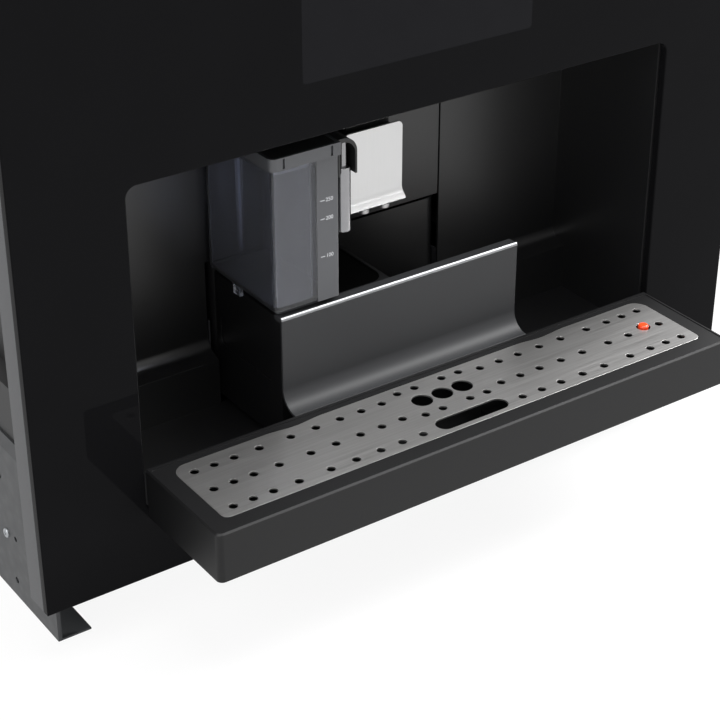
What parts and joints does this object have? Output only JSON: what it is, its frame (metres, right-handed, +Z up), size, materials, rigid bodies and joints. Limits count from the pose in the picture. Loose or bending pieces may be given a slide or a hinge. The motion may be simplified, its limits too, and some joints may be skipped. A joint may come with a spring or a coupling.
{
  "type": "built-in coffee machine",
  "caption": "Built-in coffee machine with a black glass fascia, an open niche, a pull-out drip tray module, a milk container and a sliding coffee outlet.",
  "frame": {"origin": "bottom centre of the whole machine, level with the feet of the side plates", "axes": "+X to the right seen from the front, +Y from the front to the back, +Z up"},
  "size_m": [0.595, 0.539, 0.501],
  "materials": {
    "black_glass": "polished black glass",
    "frame_grey": "satin grey coat",
    "display_black": "glossy",
    "liner_black": "satin moulded",
    "panel_black": "satin dark coat",
    "bright_edge": "polished edge",
    "tray_black": "satin moulded",
    "brushed_steel": "brushed",
    "satin_steel": "fine satin",
    "spout_chrome": "satin chrome",
    "float_red": "glossy",
    "clear_plastic": "clear moulded",
    "holder_grey": "semi-gloss moulded",
    "lid_black": "satin moulded",
    "mat_black": "glossy",
    "body_black": "fine powder coat",
    "plate_grey": "zinc-grey sheet",
    "zinc": "zinc-plated",
    "works_plastic": "moulded",
    "cast_alloy": "as cast",
    "board_green": "lacquered",
    "seal_rubber": "soft matt strip",
    "bean_clear": "smoked clear"
  },
  "bodies": {
    "chassis": {"fascia_glass": "black_glass", "fascia_frame": "frame_grey", "display_module": "display_black", "niche_liner": "liner_black", "centre_back_panel": "liner_black", "side_plate_left": "plate_grey", "side_plate_right": "plate_grey", "base_pan": "zinc", "body_cover": "body_black", "upper_housing": "body_black", "core_cover": "body_black", "fascia_seals": "seal_rubber", "door_hinge_pins": "zinc", "rear_cover": "zinc", "power_inlet": "works_plastic", "fascia_brackets": "zinc", "plate_screws": "zinc", "drawer_guide": "works_plastic", "slide_rails": "zinc", "works_shelf": "zinc", "brew_unit": "works_plastic", "grinder": "works_plastic", "bean_hopper": "bean_clear", "boiler": "cast_alloy", "pump": "works_plastic", "control_board": "board_green", "tank_valve": "works_plastic", "outlet_guide": "works_plastic"},
    "drip_module": {"drip_tray": "tray_black", "float_guide": "tray_black", "centre_panel": "panel_black", "panel_edge_trim": "bright_edge", "module_carrier": "works_plastic", "milk_cradle": "tray_black", "cradle_mat": "mat_black", "grounds_box": "liner_black"},
    "grille": {"drip_grille": "brushed_steel"},
    "float": {"level_float": "works_plastic", "float_button": "float_red"},
    "milk_jug": {"milk_container": "clear_plastic", "milk_holder": "holder_grey"},
    "milk_lid": {"milk_lid": "holder_grey", "milk_lid_cover": "lid_black", "suction_tube": "clear_plastic", "milk_hood": "lid_black", "milk_nozzle": "spout_chrome"},
    "milk_spout": {"milk_spout": "spout_chrome"},
    "dispenser": {"outlet_arm": "liner_black", "outlet_rods": "spout_chrome"},
    "outlet": {"outlet_plate": "satin_steel", "nozzle_block": "liner_black", "outlet_nozzles": "satin_steel"},
    "hopper_lid": {"hopper_lid": "works_plastic"},
    "water_tank": {"water_tank": "clear_plastic"},
    "tank_lid": {"tank_lid": "lid_black"},
    "service_door": {"service_door": "body_black"}
  },
  "joints": [
    {"name": "module_slide", "type": "slide", "parent": "chassis", "child": "drip_module", "axis": [0, -1, 0], "range_m": [0, 0.25]},
    {"name": "grille_lift", "type": "slide", "parent": "drip_module", "child": "grille", "axis": [0, 0, 1], "range_m": [0, 0.055]},
    {"name": "float_rise", "type": "slide", "parent": "drip_module", "child": "float", "axis": [0, 0, 1], "range_m": [0, 0.006]},
    {"name": "milk_jug_slide", "type": "slide", "parent": "drip_module", "child": "milk_jug", "axis": [0, -1, 0], "range_m": [0, 0.11]},
    {"name": "milk_lid_lift", "type": "slide", "parent": "milk_jug", "child": "milk_lid", "axis": [0, 0, 1], "range_m": [0, 0.013]},
    {"name": "milk_spout_drop", "type": "slide", "parent": "milk_lid", "child": "milk_spout", "axis": [0, 0, -1], "range_m": [0, 0.04]},
    {"name": "dispenser_slide", "type": "slide", "parent": "chassis", "child": "dispenser", "axis": [0, -1, 0], "range_m": [0, 0.095]},
    {"name": "outlet_height", "type": "slide", "parent": "dispenser", "child": "outlet", "axis": [0, 0, -1], "range_m": [0, 0.028]},
    {"name": "hopper_lid_lift", "type": "slide", "parent": "chassis", "child": "hopper_lid", "axis": [0, 0, 1], "range_m": [0, 0.06]},
    {"name": "tank_lift", "type": "slide", "parent": "chassis", "child": "water_tank", "axis": [0, 0, 1], "range_m": [0, 0.15]},
    {"name": "tank_lid_lift", "type": "slide", "parent": "water_tank", "child": "tank_lid", "axis": [0, 0, 1], "range_m": [0, 0.06]},
    {"name": "service_door_hinge", "type": "hinge", "parent": "chassis", "child": "service_door", "pos_m": [-0.164, 0.18245, 0.321], "axis": [0, 0, -1], "range_deg": [0, 110]}
  ]
}
